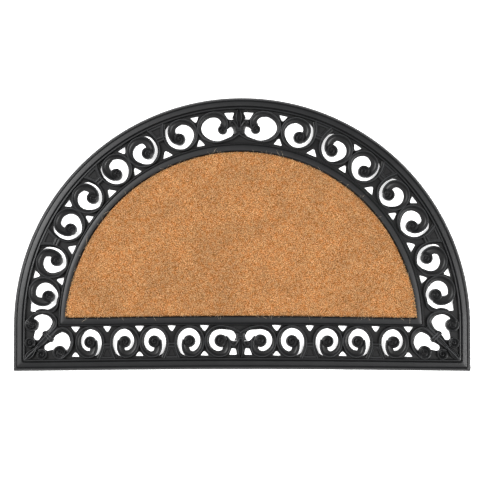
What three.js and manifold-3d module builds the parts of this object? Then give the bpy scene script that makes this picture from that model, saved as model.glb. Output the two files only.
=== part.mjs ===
// Half round doormat: a moulded rubber tray with a pierced scroll border, and a coir pad laid in it.
// Millimetres, +Z up. The origin is under the middle of the mat, on the floor. The straight edge faces -Y.
import * as THREE from 'three';
import { mergeVertices } from 'three/addons/utils/BufferGeometryUtils.js';
import Module from 'manifold-3d';

const wasm = await Module();
wasm.setup();

// Overall size: a half circle on top of short straight sides
const WIDTH = 750;
const DEPTH = 450;
const RADIUS = WIDTH / 2;
const FRONT_Y = -DEPTH / 2;
const ARC_Y = DEPTH / 2 - RADIUS;
const SIDE = ARC_Y - FRONT_Y;
const FRONT_BOW = 3;
const BOW_POWER = 1.5;

// Distances in from the outer edge to the borders of the bands
const RIM_INNER = 19.5;
const BORDER_OUTER = 72.5;
const PAD_EDGE = 86.6;
const BAND_MID = (RIM_INNER + BORDER_OUTER) / 2;
const BAND_HALF = (BORDER_OUTER - RIM_INNER) / 2;
const MID_RADIUS = RADIUS - BAND_MID;

// The inner border and the pad have a tighter arc than the mat, and lie a little off its middle
const INNER_TIGHT = 2.4;
const INNER_SHIFT = -1.6;

// Heights above the floor
const PLATE_TOP = 3;
const PAD_BOTTOM = PLATE_TOP + 0.3;
const PAD_TOP = 13.2;
const PAD_LUMP = 0.7;
const COLLAR_TOP = 9.4;
const BOSS_EDGE = 5.6;
const BOSS_TOP = 9;
const ARM_TOP = 5.2;
const TOE_TOP = 3.4;
const BELOW = -2;
const ABOVE = 12;

// Steps round the shapes
const ARC_STEPS = 38;
const FRONT_STEPS = 8;
const BAR_STEPS = 16;
const OVAL_STEPS = 14;
const BOSS_SIDES = 8;
const CAP_STEPS = 3;

// Faces that lie flush within this distance are merged
const FLUSH = 0.08;

// Section of the outer rim, from the edge inwards: bevelled lip, groove, crowned band, groove, bead
const RIM_SECTION = [
  { inset: 0, z: 0 },
  { inset: 0, z: 3.2 },
  { inset: 4.6, z: 7 },
  { inset: 5.6, z: 5.8 },
  { inset: 6.6, z: 7 },
  { inset: 13.2, z: 8.3 },
  { inset: 14.7, z: 5.5 },
  { inset: 17.2, z: 8.1 },
  { inset: RIM_INNER, z: 4.6 },
  { inset: RIM_INNER, z: 0 },
];

// Section of the inner border: bead, groove, flat band
const BORDER_SECTION = [
  { inset: 72.4, z: 0 },
  { inset: 72.4, z: 5 },
  { inset: 73.8, z: 8.4 },
  { inset: 75.4, z: 6 },
  { inset: 76.4, z: 6.9 },
  { inset: 85, z: 8.1 },
  { inset: 85.8, z: 4.8 },
  { inset: 85.8, z: 0 },
];

// Section of the coir pad, from its lower edge over the top to the middle
const PAD_RINGS = [
  { inset: PAD_EDGE, z: PAD_BOTTOM },
  { inset: PAD_EDGE, z: 9.5 },
  { inset: PAD_EDGE + 1.2, z: 12 },
  { inset: PAD_EDGE + 4, z: PAD_TOP },
  { inset: PAD_EDGE + 26, z: PAD_TOP },
  { inset: PAD_EDGE + 52, z: PAD_TOP },
  { inset: PAD_EDGE + 80, z: PAD_TOP },
  { inset: PAD_EDGE + 108, z: PAD_TOP },
];

// Section of a scroll bar. side runs from -1 at the inner edge to 1 at the outer edge of the bar.
const BAR_SECTION = [
  { side: 1, z: 0 },
  { side: 0.45, z: 9.1 },
  { side: -1, z: 4.8 },
  { side: -1, z: 0 },
];

// Where neighbouring scrolls meet, as distances along the band from its middle. At a plain junction the
// rings touch, a pair meets at a web with a collar, and the arc's last scroll meets the corner motif.
// wide is half the width of the scroll's bar at the rim side, and neck names the form of its neck.
const WEB_HALF = 5;
const ROW_JUNCTIONS = [
  { at: 59.2, kind: 'plain', wide: 4.6, neck: 'middle' },
  { at: 113.4, kind: 'pair', wide: 4.4, neck: 'row' },
  { at: 166.7, kind: 'plain', wide: 4.6, neck: 'row' },
  { at: 220.3, kind: 'pair', wide: 5.6, neck: 'row' },
  { at: 273.2, kind: 'plain', wide: 5.6, neck: 'row' },
];
const ARC_JUNCTIONS = [
  { at: 69.3, kind: 'plain', wide: 4.2, neck: 'crown' },
  { at: 132, kind: 'pair', wide: 4.5, neck: 'arc' },
  { at: 193.3, kind: 'plain', wide: 5.6, neck: 'arc' },
  { at: 252.8, kind: 'pair', wide: 4.4, neck: 'arc' },
  { at: 313, kind: 'plain', wide: 4.9, neck: 'arc' },
  { at: 375.5, kind: 'pair', wide: 5.1, neck: 'arc' },
  { at: 436, kind: 'plain', wide: 5.6, neck: 'arc' },
  { at: 492, kind: 'corner', wide: 5.4, neck: 'end' },
];
const ROW_SHIFT = { middle: -2.5, fade: 275 };
const ARC_SHIFT = { middle: -5, fade: 530 };
const CENTRE_HALF = 5;

// A scroll: its neck leaves the bulb on the web side and turns into the ring at the rim side
const OVERLAP = 0.4;
const RING_STEP = 30;
const RING_TURNS = [105, 180, 225, 270, 360];
const WIDE_SHARES = [1.14, 0.87, 0.75];
const END_HALF = 2.5;
const LAST_TURNS = { pair: 360, centre: 300, corner: 285 };
const COIR_INSET = 1.4;
const RIM_INSET = 2.8;
const NECKS = {
  row: {
    bulb: { x: 0.4, y: 0.6, radius: 10.3 },
    thin: 2.6,
    rows: [
      { x: 6.3, y: 3, half: 6 },
      { x: 7.1, y: -5, half: 6.4 },
      { x: 6.6, y: -11.5, half: 6.4 },
      { x: 3, y: -18.8, half: 6.2 },
    ],
  },
  middle: {
    bulb: { x: -0.4, y: 0.9, radius: 10.9 },
    thin: 3.8,
    rows: [
      { x: 8, y: 1.5, half: 6.6 },
      { x: 9.4, y: -5.5, half: 6.6 },
      { x: 9, y: -12, half: 6.4 },
      { x: 5, y: -18.8, half: 6 },
    ],
  },
  arc: {
    bulb: { x: 4.3, y: 6, radius: 10.5 },
    thin: 1.9,
    rows: [
      { x: 8.6, y: 8.4, half: 6.6 },
      { x: 11.8, y: 3, half: 7 },
      { x: 13.2, y: -4.5, half: 6.8 },
      { x: 12, y: -11.5, half: 6.4 },
      { x: 6.4, y: -18.2, half: 6 },
    ],
  },
  end: {
    bulb: { x: 3.2, y: 7.6, radius: 11 },
    thin: 1.9,
    rows: [
      { x: 8, y: 9.6, half: 7.2 },
      { x: 12.2, y: 3.5, half: 8 },
      { x: 13.6, y: -4.5, half: 7.4 },
      { x: 12.2, y: -11.5, half: 6.6 },
      { x: 6.4, y: -18.2, half: 6 },
    ],
  },
  crown: {
    bulb: { x: 9.4, y: 5.4, radius: 8.2 },
    thin: 2,
    rows: [
      { x: 12, y: 3, half: 5.6 },
      { x: 13.6, y: -3, half: 5.8 },
      { x: 13.2, y: -9.5, half: 5.6 },
      { x: 9.8, y: -15.6, half: 5.5 },
      { x: 3.6, y: -20, half: 5.2 },
    ],
  },
};

// Holes in the web beside a junction: one at the coir side, one at the rim side
const COIR_HOLES = {
  row: { base: 26.2, tip: 17.4, half: 7.6 },
  arc: { base: 26.2, tip: 15.9, half: 7.4 },
};
const RIM_HOLES = {
  row: { base: -23.2, tip: -16.2, half: 6.6 },
  arc: { base: -22.6, tip: -13.8, half: 6.6 },
};
const HOLE_TIP_HALF = 1.2;
const PAIR_HOLE_HALF = { row: 6.8, arc: 9.4 };
const CORNER_SLIT = { near: 13, far: -2.4, base: -19, top: 2 };

// The centre motifs: a stem over a bud, a collar, two arms with curls and a hole under each arm
const BUD = [
  { x: 0, y: 8, half: 2 },
  { x: 0, y: 0, half: 4 },
  { x: 0, y: -10, half: 5 },
  { x: 0, y: -19, half: 3.8 },
  { x: 0, y: -27, half: 1.6 },
];
const CENTRE_COLLAR = { from: 8.6, to: 12.4 };
const CENTRE_CURL = { x: 12.4, y: -4.2, radius: 4.8 };
const CENTRE_MOTIFS = {
  row: {
    stem: 8,
    arm: [
      { x: 0, y: -5.4, half: 6 },
      { x: 12, y: -5.6, half: 6 },
      { x: 18, y: -4.8, half: 6.8 },
      { x: 24, y: -1.2, half: 8.4 },
    ],
    hole: { near: 6.1, far: 19.1, base: -22.2, top: -11.6, top_far: 14.5, top_near: 8 },
  },
  arc: {
    stem: 10,
    arm: [
      { x: 0, y: -4.2, half: 6 },
      { x: 14, y: -4.2, half: 6 },
      { x: 18, y: -3.8, half: 7 },
      { x: 24, y: -1, half: 7.6 },
    ],
    hole: { near: 7.2, far: 23.4, base: -22, top: -10.4, top_far: 16.6, top_near: 11.8 },
  },
};

// The web of a pair: a trapezoid foot at the rim side and a collar round the two bars
const PAIR_COLLAR = { half: 6.6, from: -9.6, to: -2 };
const FOOT = { top: -9, bottom: -27, half_top: 5.5, half_bottom: 12 };
const FOOT_TOP = 6.6;

// The corner motif, in distances along and up from the mat's corner, the same both ways about the diagonal
const CORNER_LOOP = [
  { x: 62, y: 57, half: 3.4 },
  { x: 72, y: 64.8, half: 4.4 },
  { x: 81.5, y: 67.8, half: 4.4 },
  { x: 91, y: 62, half: 4 },
  { x: 95.8, y: 51.5, half: 3.2 },
  { x: 94.8, y: 41, half: 3 },
  { x: 90, y: 32, half: 3.2 },
  { x: 82, y: 25.8, half: 4.2 },
];
const CORNER_NECK_HOLE = [
  { x: 56, y: 38.5, half: 5.2 },
  { x: 65, y: 42.5, half: 7.2 },
  { x: 79, y: 51.5, half: 12 },
];
const CORNER_LOBE_HOLE = [
  { x: 79.5, y: 51.5, half: 12.6 },
  { x: 84.5, y: 43, half: 9.6 },
];
const CORNER_STEM = [
  { x: 72, y: 72, half: 6 },
  { x: 62, y: 62, half: 6.4 },
  { x: 53, y: 53, half: 6.2 },
  { x: 45, y: 45, half: 6.4 },
  { x: 37, y: 37, half: 5 },
];
const CORNER_LEAF = [
  { x: 37, y: 37, half: 2.8 },
  { x: 31, y: 31, half: 6.2 },
  { x: 25.5, y: 25.5, half: 5.4 },
  { x: 20, y: 20, half: 1.6 },
];
const CORNER_BULB = { x: 76, y: 30, radius: 11.8 };
const CORNER_CURL = { x: 46, y: 27.4, radius: 9.4 };
const CORNER_KNOB = { x: 62, y: 51.4, radius: 4.6 };
const CORNER_COLLAR = { x: 56.7, y: 56.7, half: 5.4, thick: 2.2 };

// Half the width of the mat's outline at a distance in from its edge
function halfWidth(inset) {
  const radius = RADIUS - inset;
  const cut = Math.max(0, inset - SIDE);
  return Math.sqrt(radius * radius - cut * cut);
}

// The straight edge bows inwards a little between its corners
function bow(x, inset) {
  const share = Math.min(1, Math.abs(x) / halfWidth(inset));
  return FRONT_BOW * (1 - share * share) ** BOW_POWER;
}

// The mat's outline at a distance in from the edge, anticlockwise from the right end of the arc.
// It keeps the upper ends of its straight sides as points of their own.
function outline(inset) {
  const radius = RADIUS - inset;
  const half = halfWidth(inset);
  const points = [];
  for (let i = 0; i <= ARC_STEPS; i += 1) {
    const angle = (Math.PI * i) / ARC_STEPS;
    points.push(new THREE.Vector2(radius * Math.cos(angle), ARC_Y + radius * Math.sin(angle)));
  }
  for (let i = 0; i <= FRONT_STEPS; i += 1) {
    const x = -half + (2 * half * i) / FRONT_STEPS;
    points.push(new THREE.Vector2(x, FRONT_Y + inset + bow(x, inset)));
  }
  return points;
}

// The outline of the inner border and the pad, without straight sides
function innerOutline(inset) {
  const radius = RADIUS - INNER_TIGHT - inset;
  const start = Math.asin((inset - SIDE) / radius);
  const half = radius * Math.cos(start);
  const points = [];
  for (let i = 0; i <= ARC_STEPS; i += 1) {
    const angle = start + ((Math.PI - 2 * start) * i) / ARC_STEPS;
    const x = INNER_SHIFT + radius * Math.cos(angle);
    points.push(new THREE.Vector2(x, ARC_Y + radius * Math.sin(angle)));
  }
  for (let i = 1; i < FRONT_STEPS; i += 1) {
    const x = -half + (2 * half * i) / FRONT_STEPS;
    points.push(new THREE.Vector2(INNER_SHIFT + x, FRONT_Y + inset + bow(x, inset)));
  }
  return points;
}

// The pattern sits a little off the middle of the mat, less and less towards the corners
function shifted(x, shift) {
  const share = Math.min(1, Math.abs(x) / shift.fade);
  return x + shift.middle * (1 - share * share);
}

// A point of the straight row of scrolls: distance along from the middle, and up from the band's middle
function toRow(x, y) {
  const along = shifted(x, ROW_SHIFT);
  const inset = BAND_MID + y;
  return new THREE.Vector2(along, FRONT_Y + inset + bow(along, inset));
}

// A point of the arc of scrolls: the same two distances, the second one towards the arc's centre
function toArc(x, y) {
  const along = shifted(x, ARC_SHIFT);
  const angle = Math.PI / 2 - along / MID_RADIUS;
  const radius = MID_RADIUS - y;
  return new THREE.Vector2(radius * Math.cos(angle), ARC_Y + radius * Math.sin(angle));
}

// A point of a corner motif: distances along and up from the left corner, or mirrored for the right one
function toCorner(side) {
  return (x, y) => new THREE.Vector2(side * (RADIUS - x), FRONT_Y + y + bow(RADIUS - x, y));
}

// A closed solid from a geometry, turned so that its faces point out
function solid(geometry) {
  geometry.deleteAttribute('normal');
  geometry.deleteAttribute('uv');
  const merged = mergeVertices(geometry, 1e-4);
  const position = merged.getAttribute('position');
  const corners = merged.getIndex().array;
  const a = new THREE.Vector3();
  const b = new THREE.Vector3();
  const c = new THREE.Vector3();
  const kept = [];
  let volume = 0;
  for (let i = 0; i < corners.length; i += 3) {
    const [p, q, r] = [corners[i], corners[i + 1], corners[i + 2]];
    if (p !== q && q !== r && r !== p) {
      a.fromBufferAttribute(position, p);
      b.fromBufferAttribute(position, q);
      c.fromBufferAttribute(position, r);
      volume += a.dot(b.cross(c));
      kept.push(p, q, r);
    }
  }
  const triVerts = new Uint32Array(volume < 0 ? kept.reverse() : kept);
  const mesh = new wasm.Mesh({ numProp: 3, vertProperties: position.array, triVerts });
  return new wasm.Manifold(mesh);
}

// A flat shape raised from one height to another
function prism(points, from, to) {
  const geometry = new THREE.ExtrudeGeometry(new THREE.Shape(points), {
    depth: to - from,
    bevelEnabled: false,
  });
  geometry.translate(0, 0, from);
  return solid(geometry);
}

// A section of insets and heights carried round an outline: a lathe turn bent to the outline
function sweep(section, along) {
  const closed = [...section, section[0]];
  const profile = closed.map((row) => new THREE.Vector2(RADIUS - row.inset, row.z));
  const rings = section.map((row) => along(row.inset));
  const turns = rings[0].length;
  const geometry = new THREE.LatheGeometry(profile, turns);
  const position = geometry.getAttribute('position');
  for (let turn = 0; turn <= turns; turn += 1) {
    for (let k = 0; k < closed.length; k += 1) {
      const point = rings[k % section.length][turn % turns];
      position.setXYZ(turn * closed.length + k, point.x, point.y, closed[k].z);
    }
  }
  return solid(geometry);
}

// A smooth path through rows of x, y and half width
function smooth(rows, steps) {
  const knots = rows.map((row) => new THREE.Vector3(row.x, row.y, row.half));
  return new THREE.CatmullRomCurve3(knots, false, 'centripetal').getPoints(steps);
}

// The direction to the left of a path at one of its points
function leftOf(path, index) {
  const before = path[Math.max(0, index - 1)];
  const after = path[Math.min(path.length - 1, index + 1)];
  return new THREE.Vector2(before.y - after.y, after.x - before.x).normalize();
}

// A raised bar along a path: a cylinder bent so that its round is the bar's section
function bar(rows, place, steps) {
  const path = smooth(rows, steps);
  const sides = BAR_SECTION.length;
  const geometry = new THREE.CylinderGeometry(1, 1, 1, sides, steps);
  const position = geometry.getAttribute('position');
  const around = new THREE.Vector3();
  for (let i = 0; i < position.count; i += 1) {
    around.fromBufferAttribute(position, i);
    const index = Math.round((around.y + 0.5) * steps);
    const knot = path[index];
    const left = leftOf(path, index);
    const turn = Math.atan2(around.x, around.z) / (2 * Math.PI);
    const middle = Math.hypot(around.x, around.z) < 0.5;
    const corner = BAR_SECTION[(Math.round(turn * sides) + sides) % sides];
    const side = middle ? 0 : corner.side;
    const z = middle ? PLATE_TOP : corner.z;
    const point = place(knot.x + left.x * side * knot.z, knot.y + left.y * side * knot.z);
    position.setXYZ(i, point.x, point.y, z);
  }
  return solid(geometry);
}

// The outline of a strip with round ends along a path
function ribbon(rows, place, steps) {
  const path = smooth(rows, steps);
  const points = [];
  const end = (index, turn) => {
    const left = leftOf(path, index).rotateAround(new THREE.Vector2(), turn);
    const half = path[index].z;
    points.push(place(path[index].x + left.x * half, path[index].y + left.y * half));
  };
  for (let i = 0; i <= steps; i += 1) end(i, 0);
  for (let i = 1; i < CAP_STEPS; i += 1) end(steps, (-Math.PI * i) / CAP_STEPS);
  for (let i = steps; i >= 0; i -= 1) end(i, Math.PI);
  for (let i = 1; i < CAP_STEPS; i += 1) end(0, Math.PI - (Math.PI * i) / CAP_STEPS);
  return points;
}

// A low domed boss
function boss(centre, radius, place) {
  const profile = [
    new THREE.Vector2(0, 0),
    new THREE.Vector2(radius, 0),
    new THREE.Vector2(radius, BOSS_EDGE),
    new THREE.Vector2(0, BOSS_TOP),
  ];
  const geometry = new THREE.LatheGeometry(profile, BOSS_SIDES);
  const position = geometry.getAttribute('position');
  for (let i = 0; i < position.count; i += 1) {
    const point = place(centre.x + position.getX(i), centre.y + position.getZ(i));
    position.setXYZ(i, point.x, point.y, position.getY(i));
  }
  return solid(geometry);
}

// A block given by its lowest and highest corners in band distances
function block(low, high, place, top) {
  const corners = [
    place(low.x, low.y),
    place(high.x, low.y),
    place(high.x, high.y),
    place(low.x, high.y),
  ];
  return prism(corners, 0, top);
}

// Half the width of a scroll's ring at a turn in degrees, clockwise from its web side
function ringHalf(turn, wide, thin) {
  const halves = [...WIDE_SHARES.map((share) => wide * share), thin, END_HALF];
  const next = Math.max(1, RING_TURNS.findIndex((knot) => knot >= turn));
  const span = RING_TURNS[next] - RING_TURNS[next - 1];
  const share = (turn - RING_TURNS[next - 1]) / span;
  return THREE.MathUtils.lerp(halves[next - 1], halves[next], share);
}

// The rows of a scroll's path, in distances from the ring's centre, with its web side at +x.
// A pair's scroll ends in a tail that runs down beside the web, one at the centre ends at the stem, and
// the arc's last one ends at the corner motif.
function scrollRows(halfX, halfY, neck, wide, ending) {
  const rows = [...neck.rows];
  for (let turn = RING_TURNS[0]; turn <= LAST_TURNS[ending]; turn += RING_STEP) {
    const angle = THREE.MathUtils.degToRad(-turn);
    const half = ringHalf(turn, wide, neck.thin);
    rows.push({ x: (halfX - half) * Math.cos(angle), y: (halfY - half) * Math.sin(angle), half });
  }
  if (ending === 'pair') {
    rows.push({ x: halfX - 2.6, y: -6, half: 2.7 });
    rows.push({ x: halfX - 5, y: -15, half: 3 });
    rows.push({ x: halfX - 10.2, y: -26.5, half: 3.4 });
  }
  if (ending === 'centre') {
    rows.push({ x: halfX - 9, y: 19.6, half: 3.4 });
    rows.push({ x: halfX + 2.5, y: 14, half: 3.4 });
  }
  if (ending === 'corner') {
    rows.push({ x: halfX - 8, y: 22.4, half: 2.2 });
    rows.push({ x: halfX - 1.6, y: 17.4, half: 2.4 });
    rows.push({ x: halfX - 0.4, y: 10, half: 2.6 });
    rows.push({ x: halfX - 1, y: 2, half: 2.8 });
    rows.push({ x: halfX + 0.4, y: -5, half: 3 });
    rows.push({ x: halfX + 3, y: -10, half: 3 });
  }
  return rows;
}

// One scroll between two distances along the band: what it cuts from the web, and what it adds
function scroll(from, to, webSide, ending, form, place) {
  const centre = (from + to) / 2;
  const halfX = Math.abs(to - from) / 2 + OVERLAP;
  const halfY = BAND_HALF + OVERLAP;
  const local = (x, y) => place(centre + webSide * x, y);
  const oval = [];
  for (let i = 0; i < OVAL_STEPS; i += 1) {
    const angle = (2 * Math.PI * i) / OVAL_STEPS;
    const reach = halfY - (Math.sin(angle) < 0 ? RIM_INSET : COIR_INSET);
    oval.push(local((halfX - COIR_INSET) * Math.cos(angle), reach * Math.sin(angle)));
  }
  const neck = NECKS[form.neck];
  return {
    cut: prism(oval, BELOW, ABOVE),
    parts: [
      bar(scrollRows(halfX, halfY, neck, form.wide, ending), local, BAR_STEPS),
      boss(neck.bulb, neck.bulb.radius, local),
    ],
  };
}

// A hole with its wide base beside a border and its blunt tip at a junction
function cornerHole(at, hole, half, place) {
  const points = [
    place(at - half, hole.base),
    place(at + half, hole.base),
    place(at + HOLE_TIP_HALF, hole.tip),
    place(at - HOLE_TIP_HALF, hole.tip),
  ];
  return prism(points, BELOW, ABOVE);
}

// The holes in the web at a junction
function junctionCuts(junction, side, band, place) {
  const at = side * junction.at;
  if (junction.kind === 'corner') {
    const { near, far, base, top } = CORNER_SLIT;
    const points = [
      place(at - side * near, base),
      place(at - side * far, base),
      place(at - side * far, top),
      place(at - side * near, top),
    ];
    return [prism(points, BELOW, ABOVE)];
  }
  const coirHole = COIR_HOLES[band];
  const rimHole = RIM_HOLES[band];
  const half = junction.kind === 'pair' ? PAIR_HOLE_HALF[band] : coirHole.half;
  const cuts = [cornerHole(at, coirHole, half, place)];
  if (junction.kind === 'plain') cuts.push(cornerHole(at, rimHole, rimHole.half, place));
  return cuts;
}

// All scrolls, webs and holes of one half of a band
function halfBand(side, junctions, band, place) {
  const cuts = [];
  const parts = [];
  let before = { at: CENTRE_HALF, kind: 'centre' };
  for (const junction of junctions) {
    const from = before.at + (before.kind === 'pair' ? WEB_HALF : 0);
    const to = junction.at - (junction.kind === 'pair' ? WEB_HALF : 0);
    const facesOut = junction.kind === 'pair' || junction.kind === 'corner';
    const webSide = facesOut ? side : -side;
    const ending = facesOut ? junction.kind : before.kind;
    const made = scroll(side * from, side * to, webSide, ending, junction, place);
    cuts.push(made.cut, ...junctionCuts(junction, side, band, place));
    parts.push(...made.parts);
    if (junction.kind === 'pair') parts.push(...web(side * junction.at, place));
    before = junction;
  }
  return { cuts, parts };
}

// The web of a pair: its foot and its collar
function web(at, place) {
  const foot = [
    place(at - FOOT.half_bottom, FOOT.bottom),
    place(at + FOOT.half_bottom, FOOT.bottom),
    place(at + FOOT.half_top, FOOT.top),
    place(at - FOOT.half_top, FOOT.top),
  ];
  const low = { x: at - PAIR_COLLAR.half, y: PAIR_COLLAR.from };
  const high = { x: at + PAIR_COLLAR.half, y: PAIR_COLLAR.to };
  return [prism(foot, 0, FOOT_TOP), block(low, high, place, COLLAR_TOP)];
}

// The motif in the middle of a band
function centreMotif(form, place) {
  const { stem, arm, hole } = CENTRE_MOTIFS[form];
  const rows = [
    { x: 0, y: 21, half: stem },
    { x: 0, y: 7, half: stem },
    { x: 0, y: 1, half: stem + 2.4 },
  ];
  const low = { x: -stem, y: CENTRE_COLLAR.from };
  const high = { x: stem, y: CENTRE_COLLAR.to };
  const parts = [bar(rows, place, 4), bar(BUD, place, 8), block(low, high, place, COLLAR_TOP)];
  const cuts = [];
  for (const side of [-1, 1]) {
    const local = (x, y) => place(side * x, y);
    const toe = [
      local(hole.far, hole.base - 1),
      local(hole.far + 8, hole.base - 1),
      local(hole.top_far + 8, hole.top),
      local(hole.top_far, hole.top),
    ];
    const opening = [
      local(hole.near, hole.base),
      local(hole.far, hole.base),
      local(hole.top_far, hole.top),
      local(hole.top_near, hole.top),
    ];
    parts.push(prism(ribbon(arm, local, 6), 0, ARM_TOP));
    parts.push(prism(toe, 0, TOE_TOP));
    parts.push(boss(CENTRE_CURL, CENTRE_CURL.radius, local));
    cuts.push(prism(opening, BELOW, ABOVE));
  }
  return { cuts, parts };
}

// A corner motif: two loops that share a diagonal stem, with a leaf in the corner
function cornerMotif(side) {
  const place = toCorner(side);
  const flipped = (x, y) => place(y, x);
  const cuts = [];
  const parts = [bar(CORNER_STEM, place, 5), bar(CORNER_LEAF, place, 5)];
  for (const way of [place, flipped]) {
    cuts.push(prism(ribbon(CORNER_NECK_HOLE, way, 6), BELOW, ABOVE));
    cuts.push(prism(ribbon(CORNER_LOBE_HOLE, way, 1), BELOW, ABOVE));
    parts.push(bar(CORNER_LOOP, way, 14));
    parts.push(boss(CORNER_BULB, CORNER_BULB.radius, way));
    parts.push(boss(CORNER_CURL, CORNER_CURL.radius, way));
    parts.push(boss(CORNER_KNOB, CORNER_KNOB.radius, way));
  }
  const { x, y, half, thick } = CORNER_COLLAR;
  const collar = [
    place(x - half - thick, y + half - thick),
    place(x + half - thick, y - half - thick),
    place(x + half + thick, y - half + thick),
    place(x - half + thick, y + half + thick),
  ];
  parts.push(prism(collar, 0, COLLAR_TOP));
  return { cuts, parts };
}

// The rubber moulding
function rubberTray() {
  const groups = [
    halfBand(-1, ROW_JUNCTIONS, 'row', toRow),
    halfBand(1, ROW_JUNCTIONS, 'row', toRow),
    halfBand(-1, ARC_JUNCTIONS, 'arc', toArc),
    halfBand(1, ARC_JUNCTIONS, 'arc', toArc),
    centreMotif('row', toRow),
    centreMotif('arc', toArc),
    cornerMotif(-1),
    cornerMotif(1),
  ];
  let tray = prism(outline(RIM_INNER / 2), 0, PLATE_TOP);
  for (const group of groups) {
    for (const cut of group.cuts) tray = tray.subtract(cut);
  }
  for (const group of groups) {
    for (const part of group.parts) tray = tray.add(part);
  }
  tray = tray.add(sweep(RIM_SECTION, outline)).add(sweep(BORDER_SECTION, innerOutline));
  return tray.asOriginal().simplify(FLUSH);
}

// The coir pad: a slab with soft lumps in its top, built from rings of the inner outline
function coirPad() {
  const rings = PAD_RINGS.map((row) => innerOutline(row.inset));
  const turns = rings[0].length;
  const foot = rings[0].reduce((sum, point) => sum.add(point), new THREE.Vector2()).divideScalar(turns);
  const profile = [
    new THREE.Vector2(0, PAD_BOTTOM),
    ...PAD_RINGS.map((row) => new THREE.Vector2(RADIUS - row.inset, row.z)),
    new THREE.Vector2(0, PAD_TOP),
  ];
  const geometry = new THREE.LatheGeometry(profile, turns);
  const position = geometry.getAttribute('position');
  for (let turn = 0; turn <= turns; turn += 1) {
    for (let k = 0; k < profile.length; k += 1) {
      const onRing = k > 0 && k < profile.length - 1;
      const point = onRing ? rings[k - 1][turn % turns] : foot;
      const lumpy = profile[k].y > PAD_TOP - 0.01;
      const lump = lumpy ? PAD_LUMP * Math.sin(point.x / 17) * Math.cos(point.y / 13) : 0;
      position.setXYZ(turn * profile.length + k, point.x, point.y, profile[k].y + lump);
    }
  }
  return solid(geometry);
}

// A named mesh from a solid
function piece(name, manifold, look) {
  const made = manifold.getMesh();
  const geometry = new THREE.BufferGeometry();
  geometry.setAttribute('position', new THREE.BufferAttribute(made.vertProperties, 3));
  geometry.setIndex(new THREE.BufferAttribute(made.triVerts, 1));
  geometry.computeVertexNormals();
  const mesh = new THREE.Mesh(geometry, new THREE.MeshStandardMaterial(look));
  mesh.name = name;
  return mesh;
}

const mat = new THREE.Group();
mat.add(piece('rubber_tray', rubberTray(), { color: 0x3a3b3d, roughness: 0.6, metalness: 0 }));
mat.add(piece('coir_pad', coirPad(), { color: 0xb98a52, roughness: 0.95, metalness: 0 }));

export default mat;
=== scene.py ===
# Half round doormat: a moulded rubber tray with a pierced scroll border, filled with cut coir pile.
# The tables are in millimetres, in the part's frame. Meshes are made in metres.
import math

import bpy
import numpy as np
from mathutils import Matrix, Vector


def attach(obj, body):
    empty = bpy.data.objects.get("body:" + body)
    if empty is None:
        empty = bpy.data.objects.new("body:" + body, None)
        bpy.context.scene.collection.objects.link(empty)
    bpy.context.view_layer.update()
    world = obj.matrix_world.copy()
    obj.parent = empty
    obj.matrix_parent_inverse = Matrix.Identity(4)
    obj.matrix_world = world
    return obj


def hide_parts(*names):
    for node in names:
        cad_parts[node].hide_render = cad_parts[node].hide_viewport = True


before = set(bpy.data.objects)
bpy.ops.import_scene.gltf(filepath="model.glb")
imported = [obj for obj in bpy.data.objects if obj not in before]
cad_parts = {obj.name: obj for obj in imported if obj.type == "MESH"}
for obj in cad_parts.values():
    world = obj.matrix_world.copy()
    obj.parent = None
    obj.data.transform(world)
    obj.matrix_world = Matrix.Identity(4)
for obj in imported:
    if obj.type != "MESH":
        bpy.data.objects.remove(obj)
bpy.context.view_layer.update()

MM = 0.001

# Overall size: a half circle on top of short straight sides
WIDTH = 750
DEPTH = 450
RADIUS = WIDTH / 2
FRONT_Y = -DEPTH / 2
ARC_Y = DEPTH / 2 - RADIUS
SIDE = ARC_Y - FRONT_Y
FRONT_BOW = 3
BOW_POWER = 1.5

# Distances in from the outer edge
RIM_INNER = 19.5
BORDER_OUTER = 72.5
PAD_EDGE = 86.6
BAND_MID = (RIM_INNER + BORDER_OUTER) / 2
BAND_HALF = (BORDER_OUTER - RIM_INNER) / 2
MID_RADIUS = RADIUS - BAND_MID

# The inner border and the pad have a tighter arc than the mat, and lie a little off its middle. The pile
# is a little wider near its two corners: by how much, the share of it at the straight edge, and how far up
INNER_TIGHT = 2.4
INNER_SHIFT = -1.6
CORNER_FLARE = 3.8
FLARE_START = 1.2
FLARE_LENGTH = 80

# Heights above the floor, and the two ends of every cutter
PLATE_TOP = 3
PAD_BOTTOM = 3.3
COIR_TOP = 9.9
PILE_FOOT = 9.3
PILE_TOP = 13.3
BELOW = -2
ABOVE = 12

# Steps round and along the shapes
ARC_STEPS = 176
FRONT_STEPS = 48
BEND_STEPS = 5
HOLE_STEPS = 4
CAP_STEPS = 8
OVAL_STEPS = 64
SCROLL_STEPS = 72
STEM_STEPS = 12
BUD_STEPS = 36
PETAL_STEPS = 24
ARM_STEPS = 12
BEAD_STEPS = 10
LOOP_STEPS = 56
CORNER_STEM_STEPS = 20
CORNER_LEAF_STEPS = 24
CORNER_SPINE_STEPS = 16
CORNER_BEAD_STEPS = 12
NECK_HOLE_STEPS = 24
LOBE_HOLE_STEPS = 2

# Section of the outer rim as (inset, height): rounded lip, groove, crowned band, groove, bead, wall
RIM_SECTION = [
    (0, 0), (0, 2), (0.25, 3.2), (1.2, 4.6), (2.4, 6.2), (3.2, 7.1), (4, 7.5), (4.7, 7.2), (5.1, 6.4),
    (5.5, 5.9), (5.9, 6.3), (6.3, 6.9), (7, 7.15), (8.8, 7.5), (10.5, 7.85), (12.2, 8.2),
    (13.2, 8.3), (13.7, 7.8), (14.2, 6.3), (14.7, 5.5), (15.2, 6), (15.7, 7.1), (16.2, 7.7),
    (17.1, 8.15), (17.7, 8.1), (18.3, 7.6), (18.8, 6.6), (19.2, 5.4), (19.5, 4), (19.5, 0),
]

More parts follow.
